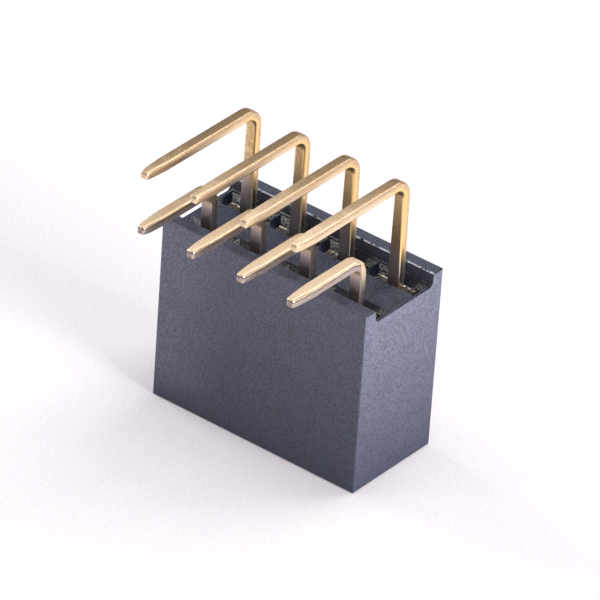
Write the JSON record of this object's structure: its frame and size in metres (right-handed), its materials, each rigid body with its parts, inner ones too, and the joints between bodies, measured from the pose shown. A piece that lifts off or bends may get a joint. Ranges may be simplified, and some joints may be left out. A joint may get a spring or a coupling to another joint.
{
  "type": "right-angle female pin header",
  "caption": "Right-angle socket header for a circuit board: a dark moulded housing holds fork contacts whose flat tails bend sideways into the board.",
  "frame": {"origin": "centre of the mating face, the face that the mating pins enter", "axes": "+Z from the mating face up through the housing to the tails; +X along the rows; -Y towards the circuit board, the way the tails point"},
  "size_m": [0.0104, 0.0082, 0.0128],
  "materials": {
    "housing": "fine-grained moulded thermoplastic, dark slate, glossier inside the channel",
    "contacts": "stamped copper-alloy strip with a thin dull gold plating and brighter sheared edges"
  },
  "bodies": {
    "root": {"housing": "housing", "long_contact_1": "contacts", "long_contact_2": "contacts", "long_contact_3": "contacts", "long_contact_4": "contacts", "short_contact_1": "contacts", "short_contact_2": "contacts", "short_contact_3": "contacts", "short_contact_4": "contacts"}
  },
  "joints": []
}
